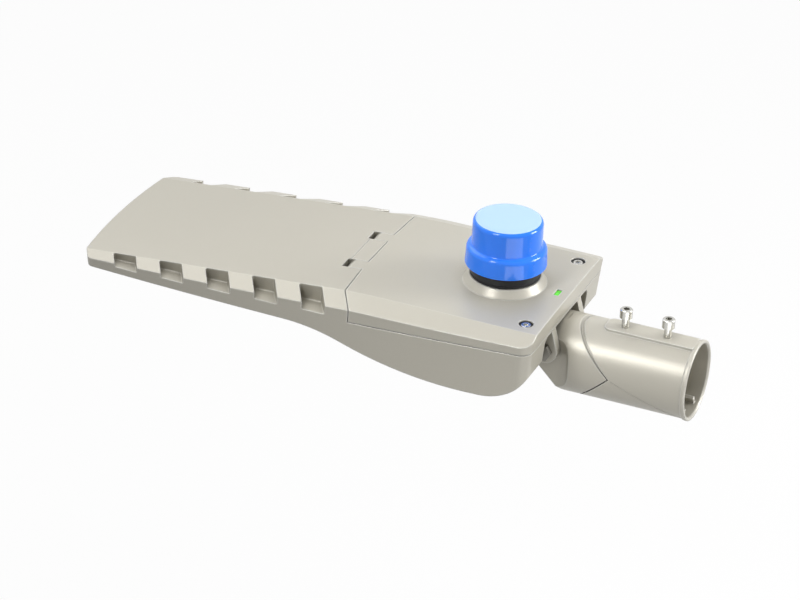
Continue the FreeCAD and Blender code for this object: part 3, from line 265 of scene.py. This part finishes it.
coat_grey, coat_grey_light = colour(187, 183, 169), colour(193, 189, 176)
flake_grey = colour(205, 201, 189)
painted_edge_highlight = colour(238, 237, 231)
painted_corner_shade = colour(104, 100, 88)
clouds_per_metre, flakes_per_metre, peel_per_metre = 9, 2600, 700
coat_sheen, coat_roughness, flake_roughness = 0.24, 0.33, 0.08
peel_depth, peel_strength = 0.00003, 0.5
edge_radius, edge_highlight_gain, edge_highlight_most = 0.002, 1.7, 0.85
corner_shade_reach, corner_shade_most = 0.014, 0.62
edge_samples, corner_shade_samples = 6, 6

casting_paint, tree, shader = material("casting_powder_coat",
                                       {"Metallic": coat_sheen, "Specular IOR Level": 0.5})
cloud = noise(tree, clouds_per_metre)
flake = noise(tree, flakes_per_metre, detail=1.0)
peel = noise(tree, peel_per_metre)
round_edge = add(tree, "ShaderNodeBevel", {"samples": edge_samples}, {"Radius": edge_radius}, "Normal")
face = add(tree, "ShaderNodeNewGeometry", {}, {}, "Normal")
flatness = add(tree, "ShaderNodeVectorMath", {"operation": "DOT_PRODUCT"},
               {0: round_edge, 1: face}, "Value")
bend = larger(1 - flatness, 0.0)
# Painted highlight: the colour goes pale where the rounded-edge normal bends away from the face.
edge_highlight_share = smaller(bend.work_out("SQRT", bend) * edge_highlight_gain, edge_highlight_most)
# Painted shade: ambient occlusion darkens the coat's colour in corners and crevices.
open_sky = add(tree, "ShaderNodeAmbientOcclusion", {"samples": corner_shade_samples},
               {"Distance": corner_shade_reach}, "AO")
coat = blend_colours(cloud, coat_grey, coat_grey_light)
flaked_coat = blend_colours(flake, coat, flake_grey)
edge_highlit_coat = blend_colours(edge_highlight_share, flaked_coat, painted_edge_highlight)
feed(shader, "Base Color", blend_colours((1 - open_sky) * corner_shade_most, edge_highlit_coat, painted_corner_shade))
feed(shader, "Roughness", coat_roughness + flake * flake_roughness)
feed(shader, "Normal", bumped(peel, peel_depth, peel_strength, round_edge))
dress(casting_paint, "led_housing", "gear_cover", "hinge_block", "spigot_knuckle", "spigot_tube")

# Mould line left along the tube's near side, where the two halves of the die met: a fine raised seam
# under the same paint, from the point of the joint down towards the mouth.
seam_start, seam_end, seam_steps = 0.0095, 0.082, 14
seam_foot_x = 0.007
seam_fall = math.tan(math.radians(23.5))
seam_radius = 0.0003
tube_radius = 0.0405
mould_seam = bpy.data.curves.new("tube_mould_line", "CURVE")
mould_seam.dimensions = "3D"
mould_seam.bevel_depth = seam_radius
mould_seam.bevel_resolution = 3
mould_seam.use_fill_caps = True
path = mould_seam.splines.new("NURBS")
path.points.add(seam_steps - 1)
for step, point in enumerate(path.points):
    x = seam_start + (seam_end - seam_start) * step / (seam_steps - 1)
    z = -(x - seam_foot_x) * seam_fall
    point.co = (x, -math.sqrt(tube_radius ** 2 - z ** 2), z, 1.0)
path.use_endpoint_u = True
path.order_u = 3
mould_seam.materials.append(casting_paint)
mould_line = bpy.data.objects.new("tube_mould_line", mould_seam)
scene.collection.objects.link(mould_line)
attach(mould_line, "spigot")

# Photocell cap: one glossy blue moulding, pressed onto its black base. Its flat top is painted paler,
# as the sky's light on it, and the whole cap has a painted glow in its own blue.
lit_top_depth = 0.0004
# Painted glow: the cap gives out its own blue as emission.
cap_roughness, cap_painted_glow = 0.09, 0.16
cap_blue, tree, shader = material("photocell_blue", {"Roughness": cap_roughness,
                                                     "Specular IOR Level": 0.5,
                                                     "Emission Strength": cap_painted_glow})
cap_top_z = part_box("photocell_cap")[1][2]
place = add(tree, "ShaderNodeTexCoord", {}, {}, "Object")
height = add(tree, "ShaderNodeSeparateXYZ", {}, {"Vector": place}, "Z")
# Painted light: the flat top is coloured paler, as the sky's light falling on it.
painted_top_light = height > cap_top_z - lit_top_depth
shell_blue, shell_blue_light = colour(24, 122, 252), colour(34, 130, 255)
painted_lit_top_blue = colour(174, 207, 253)
clouds_in_blue = noise(tree, 30)
shell = blend_colours(clouds_in_blue, shell_blue, shell_blue_light)
cap_tone_with_lit_top = blend_colours(painted_top_light, shell, painted_lit_top_blue)
feed(shader, "Base Color", cap_tone_with_lit_top)
feed(shader, "Emission Color", cap_tone_with_lit_top)
dress(cap_blue, "photocell_cap")


# Black mouldings in glass-filled nylon: the photocell's base, which twists into the socket that is
# screwed under the cover, and the screwed-in cable gland, vent plug and cable clamp of the mains entry.
grains_per_metre = 900
grain_lightness, grain_roughness = 1.25, 0.12
grain_depth, grain_strength = 0.00002, 0.6


def moulded(name, tone, roughness):
    """Moulded plastic or rubber with a fine grained skin."""
    made, tree, shader = material(name, {"Specular IOR Level": 0.4})
    grain = noise(tree, grains_per_metre)
    feed(shader, "Base Color", blend_colours(grain, tone, lighter(tone, grain_lightness)))
    feed(shader, "Roughness", roughness + grain * grain_roughness)
    feed(shader, "Normal", bumped(grain, grain_depth, grain_strength))
    return made


black_plastic = moulded("black_plastic", colour(32, 33, 36), 0.35)
dress(black_plastic, "photocell_base", "photocell_socket", "cable_gland", "vent_plug", "cable_clamp")

# Seals: soft black silicone rubber under the photocell, round the glass and round the cover screws, and
# a grey silicone cord between the gear cover and the head, which the closing cover presses together.
black_rubber = moulded("black_rubber", colour(26, 26, 28), 0.6)
dress(black_rubber, "photocell_gasket", "glass_gasket", "cover_screw_rings")
grey_silicone = moulded("grey_silicone", colour(168, 165, 155), 0.55)
dress(grey_silicone, "cover_gasket")


# Fasteners: turned and rolled stainless screws, the ground hinge pin and the sprung glass clips, left
# bright. The tilting joint's bolt, nut and washers are stainless too, tumbled to a duller grey, and the
# photocell socket's contacts are stamped brass.
marks_per_metre = 1400
mark_lightness, mark_roughness = 1.15, 0.1
mark_depth, mark_strength = 0.00001, 0.4


def bare_metal(name, tone, roughness):
    """Uncoated metal with fine marks from turning and rolling."""
    made, tree, shader = material(name, {"Metallic": 1.0})
    mark = noise(tree, marks_per_metre)
    feed(shader, "Base Color", blend_colours(mark, tone, lighter(tone, mark_lightness)))
    feed(shader, "Roughness", roughness + mark * mark_roughness)
    feed(shader, "Normal", bumped(mark, mark_depth, mark_strength))
    return made


stainless = bare_metal("stainless_steel", colour(196, 195, 190), 0.22)
dress(stainless, "hinge_pin", "hinge_block_screws", "cover_screws", "socket_screws", "glass_clips",
      "glass_clip_screws", "driver_screws", "surge_protector_screws", "cable_clamp_screws",
      "earth_screw", "joint_screws", "clamp_screw_inner", "clamp_screw_outer")
dull_steel = bare_metal("dull_steel", colour(128, 126, 120), 0.42)
dress(dull_steel, "pivot_bolt", "pivot_nut", "pivot_washers")
brass = bare_metal("brass_contacts", colour(202, 168, 92), 0.25)
dress(brass, "socket_contacts")

# Level vial: a small green spirit level of clear acrylic, glued into the cover beside its rear edge.
# Its filling is dyed, and has a painted glow in its own green.
vial_roughness, vial_painted_glow = 0.15, 0.25
vial_green, tree, shader = material("vial_green", {"Roughness": vial_roughness,
                                                   "Emission Strength": vial_painted_glow})
swirl = noise(tree, 300)
spirit = blend_colours(swirl, colour(66, 206, 30), colour(112, 230, 60))
feed(shader, "Base Color", spirit)
feed(shader, "Emission Color", spirit)
dress(vial_green, "level_vial")

# Light engine under the head: clear toughened glass over four moulded acrylic lens plates, which lie on
# a white-masked board. The board carries the emitters, each under a drop of yellow phosphor.
glass_index, acrylic_index = 1.5, 1.49
glass_haze = 0.03
lens_roughness, lens_haze = 0.05, 0.06
tint_per_metre = 12
pure_clear = colour(255, 255, 255)
glass_tint, acrylic_tint = colour(250, 252, 251), colour(246, 248, 248)

glass_clear, tree, shader = material("cover_glass", {"Transmission Weight": 1.0, "IOR": glass_index})
feed(shader, "Roughness", noise(tree, 40) * glass_haze)
feed(shader, "Base Color", blend_colours(noise(tree, tint_per_metre), glass_tint, pure_clear))
dress(glass_clear, "lens_glass")
lens_clear, tree, shader = material("lens_plastic", {"Transmission Weight": 0.9, "IOR": acrylic_index})
feed(shader, "Roughness", lens_roughness + noise(tree, 60) * lens_haze)
feed(shader, "Base Color", blend_colours(noise(tree, tint_per_metre), acrylic_tint, pure_clear))
dress(lens_clear, "lens_array")
board_white = moulded("board_white", colour(226, 227, 224), 0.4)
dress(board_white, "led_board")
phosphor = moulded("emitter_yellow", colour(236, 200, 60), 0.5)
dress(phosphor, "led_chips")

# Control gear in the compartment under the gear cover: a pale driver case, a surge protector and a
# terminal block, all of moulded plastic. The first two are screwed to the casting.
driver_case = moulded("driver_case", colour(216, 216, 212), 0.4)
dress(driver_case, "driver")
pale_plastic = moulded("pale_plastic", colour(222, 220, 210), 0.45)
dress(pale_plastic, "surge_protector", "terminal_block")
